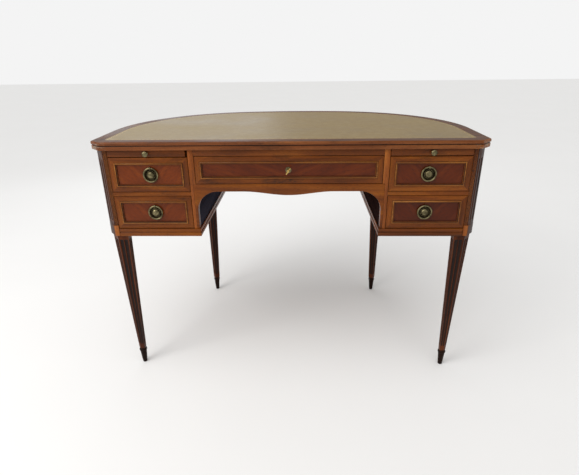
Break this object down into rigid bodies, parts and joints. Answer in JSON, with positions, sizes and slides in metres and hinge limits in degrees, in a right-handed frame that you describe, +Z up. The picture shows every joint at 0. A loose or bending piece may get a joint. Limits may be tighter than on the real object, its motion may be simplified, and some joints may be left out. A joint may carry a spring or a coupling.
{
  "type": "writing desk",
  "caption": "Half-round writing desk with a leather-lined top, pedestal drawers around a kneehole, a locking centre drawer, pull-out writing slides and tapered legs.",
  "frame": {"origin": "on the floor under the middle of the top", "axes": "+X to the sitter's right, +Y from the drawer fronts to the curved back, +Z up"},
  "size_m": [1.106, 0.652, 0.76],
  "materials": {
    "mahogany": "aged polished mahogany veneer",
    "drawer_veneer": "book-matched veneer with cross-banded edges",
    "kneehole_veneer": "dull dark veneer",
    "inside_wood": "plain unpolished wood",
    "desk_leather": "worn olive-tan leather with a tooled line",
    "antique_brass": "patinated brass",
    "lock_steel": "plain steel"
  },
  "bodies": {
    "carcase": {"top_board": "mahogany", "leather_inset": "desk_leather", "frieze_rail": "mahogany", "apron": "mahogany", "back_panel": "mahogany", "drawer_guides": "inside_wood", "centre_runners": "inside_wood", "left_stile": "mahogany", "left_inner_side": "kneehole_veneer", "left_curved_side": "mahogany", "left_pedestal_floor": "inside_wood", "left_shelf": "inside_wood", "left_base_moulding": "mahogany", "left_front_leg": "mahogany", "left_back_leg": "mahogany", "right_stile": "mahogany", "right_inner_side": "kneehole_veneer", "right_curved_side": "mahogany", "right_pedestal_floor": "inside_wood", "right_shelf": "inside_wood", "right_base_moulding": "mahogany", "right_front_leg": "mahogany", "right_back_leg": "mahogany"},
    "upper_left_drawer": {"upper_left_front": "drawer_veneer", "upper_left_bead": "mahogany", "upper_left_box": "inside_wood", "upper_left_bottom": "inside_wood", "upper_left_pull": "antique_brass"},
    "upper_left_pull_ring": {"upper_left_ring": "antique_brass"},
    "upper_right_drawer": {"upper_right_front": "drawer_veneer", "upper_right_bead": "mahogany", "upper_right_box": "inside_wood", "upper_right_bottom": "inside_wood", "upper_right_pull": "antique_brass"},
    "upper_right_pull_ring": {"upper_right_ring": "antique_brass"},
    "lower_left_drawer": {"lower_left_front": "drawer_veneer", "lower_left_bead": "mahogany", "lower_left_box": "inside_wood", "lower_left_bottom": "inside_wood", "lower_left_pull": "antique_brass"},
    "lower_left_pull_ring": {"lower_left_ring": "antique_brass"},
    "lower_right_drawer": {"lower_right_front": "drawer_veneer", "lower_right_bead": "mahogany", "lower_right_box": "inside_wood", "lower_right_bottom": "inside_wood", "lower_right_pull": "antique_brass"},
    "lower_right_pull_ring": {"lower_right_ring": "antique_brass"},
    "centre_drawer": {"centre_front": "drawer_veneer", "centre_bead": "mahogany", "centre_box": "inside_wood", "centre_bottom": "inside_wood", "lock_case": "lock_steel", "escutcheon": "antique_brass"},
    "desk_key": {"key": "antique_brass"},
    "bolt": {"lock_bolt": "antique_brass"},
    "left_slide_board": {"left_writing_slide": "mahogany", "left_slide_knob": "antique_brass"},
    "right_slide_board": {"right_writing_slide": "mahogany", "right_slide_knob": "antique_brass"}
  },
  "joints": [
    {"name": "upper_left_drawer_slide", "type": "slide", "parent": "carcase", "child": "upper_left_drawer", "axis": [0, -1, 0], "range_m": [0, 0.23]},
    {"name": "upper_left_ring_hinge", "type": "hinge", "parent": "upper_left_drawer", "child": "upper_left_pull_ring", "pos_m": [-0.389, -0.3097, 0.685], "axis": [-1, 0, 0], "range_deg": [0, 90]},
    {"name": "upper_right_drawer_slide", "type": "slide", "parent": "carcase", "child": "upper_right_drawer", "axis": [0, -1, 0], "range_m": [0, 0.23]},
    {"name": "upper_right_ring_hinge", "type": "hinge", "parent": "upper_right_drawer", "child": "upper_right_pull_ring", "pos_m": [0.389, -0.3097, 0.685], "axis": [-1, 0, 0], "range_deg": [0, 90]},
    {"name": "lower_left_drawer_slide", "type": "slide", "parent": "carcase", "child": "lower_left_drawer", "axis": [0, -1, 0], "range_m": [0, 0.23]},
    {"name": "lower_left_ring_hinge", "type": "hinge", "parent": "lower_left_drawer", "child": "lower_left_pull_ring", "pos_m": [-0.389, -0.3097, 0.573], "axis": [-1, 0, 0], "range_deg": [0, 90]},
    {"name": "lower_right_drawer_slide", "type": "slide", "parent": "carcase", "child": "lower_right_drawer", "axis": [0, -1, 0], "range_m": [0, 0.23]},
    {"name": "lower_right_ring_hinge", "type": "hinge", "parent": "lower_right_drawer", "child": "lower_right_pull_ring", "pos_m": [0.389, -0.3097, 0.573], "axis": [-1, 0, 0], "range_deg": [0, 90]},
    {"name": "centre_drawer_slide", "type": "slide", "parent": "carcase", "child": "centre_drawer", "axis": [0, -1, 0], "range_m": [0, 0.33]},
    {"name": "key_turn", "type": "hinge", "parent": "centre_drawer", "child": "desk_key", "pos_m": [0, -0.308, 0.67825], "axis": [0, 1, 0], "range_deg": [0, 90]},
    {"name": "bolt_slide", "type": "slide", "parent": "centre_drawer", "child": "bolt", "axis": [0, 0, 1], "range_m": [0, 0.007]},
    {"name": "left_slide_pull", "type": "slide", "parent": "carcase", "child": "left_slide_board", "axis": [0, -1, 0], "range_m": [0, 0.23]},
    {"name": "right_slide_pull", "type": "slide", "parent": "carcase", "child": "right_slide_board", "axis": [0, -1, 0], "range_m": [0, 0.23]}
  ],
  "couplings": [
    {"joint": "bolt_slide", "follows": "key_turn", "m_per_rad": 0.004456}
  ]
}
